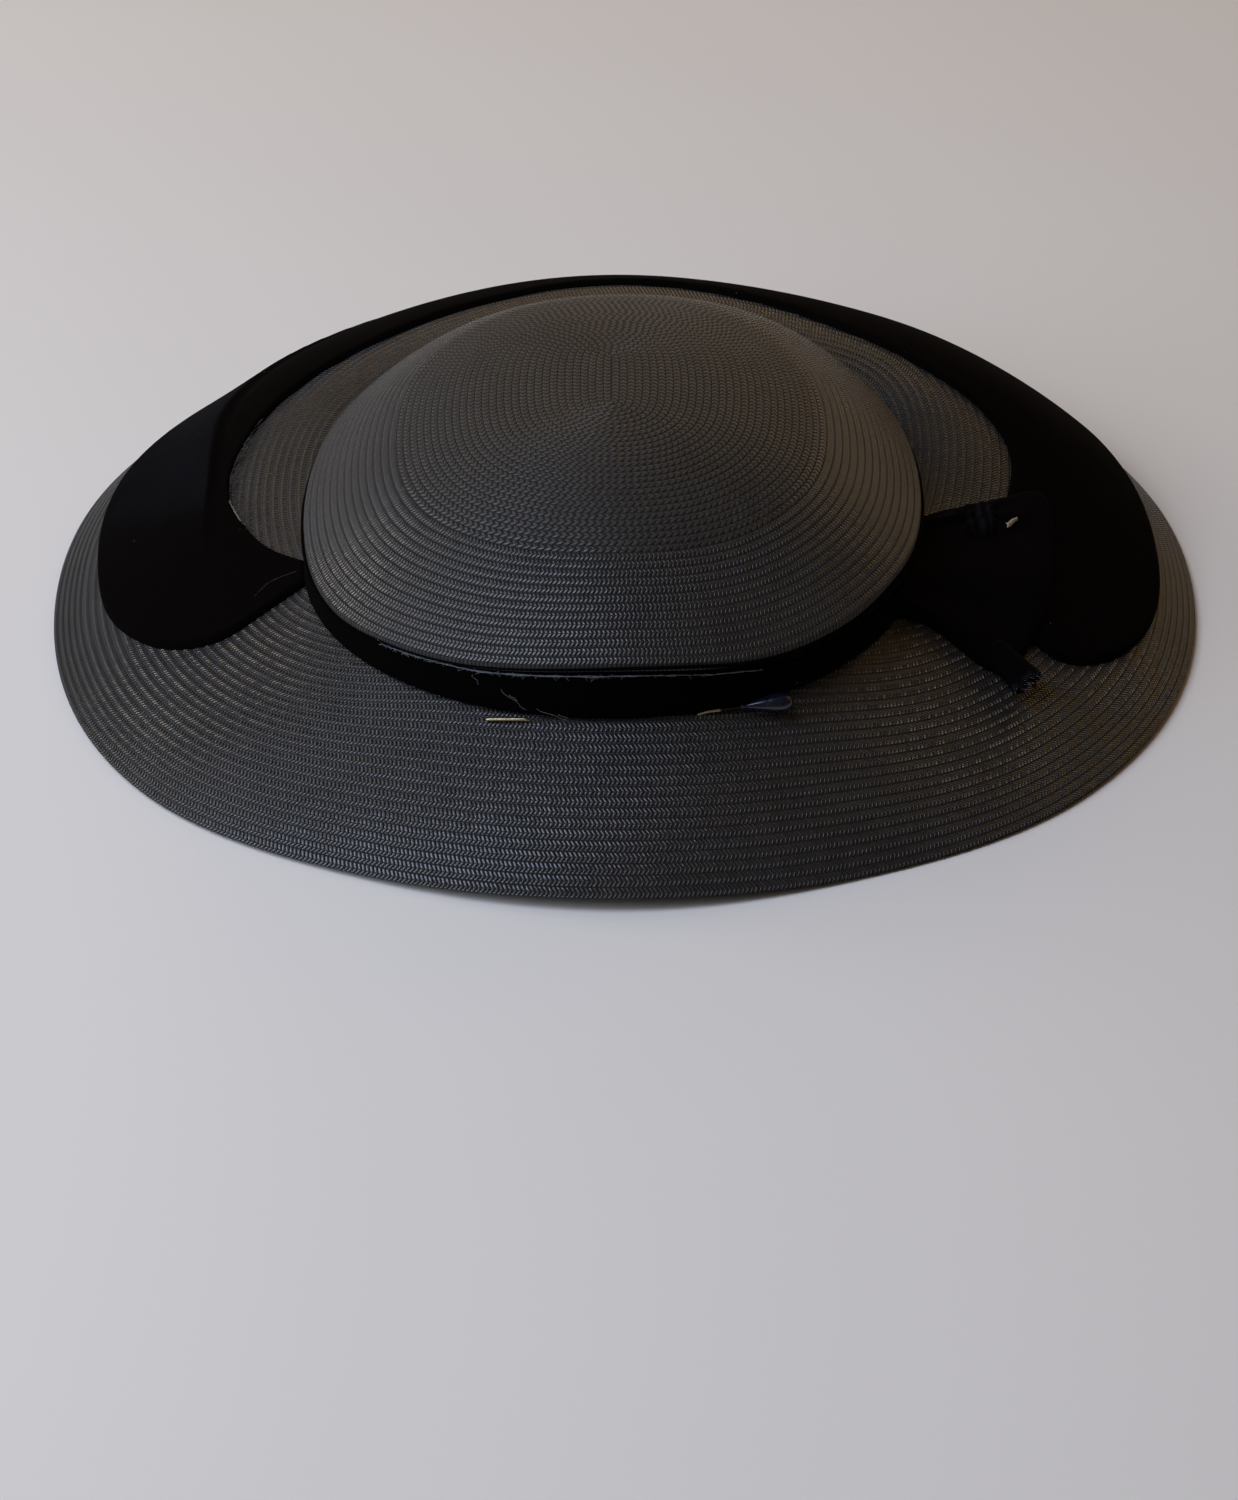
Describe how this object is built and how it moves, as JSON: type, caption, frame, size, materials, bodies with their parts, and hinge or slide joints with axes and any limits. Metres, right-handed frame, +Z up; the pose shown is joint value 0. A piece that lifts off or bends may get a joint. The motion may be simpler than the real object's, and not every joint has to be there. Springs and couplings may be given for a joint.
{
  "type": "wide-brim hat",
  "caption": "Wide-brim hat of sewn straw braid with a shallow oval crown, a velvet band, a velvet crescent over the back of the brim, a flat bow and a hat pin.",
  "frame": {"origin": "middle of the hat's box in plan, on the surface that its brim rests on", "axes": "+Z up through the crown; -Y is the wearer's front, where the hat pin is; +X is the side with the bow"},
  "size_m": [0.3665, 0.3648, 0.0891],
  "materials": {
    "straw_braid": "black dyed straw braid, sewn in overlapping rows, slight sheen",
    "velvet": "black short-pile velvet",
    "pin_metal": "worn gilt wire",
    "pin_glass": "glossy dark blue moulded drop"
  },
  "bodies": {
    "root": {"crown": "straw_braid", "brim": "straw_braid", "velvet_band": "velvet", "velvet_crescent": "velvet", "bow_loop": "velvet", "bow_knot": "velvet", "bow_tail": "velvet", "hat_pin_shaft": "pin_metal", "hat_pin_head": "pin_glass"}
  },
  "joints": []
}
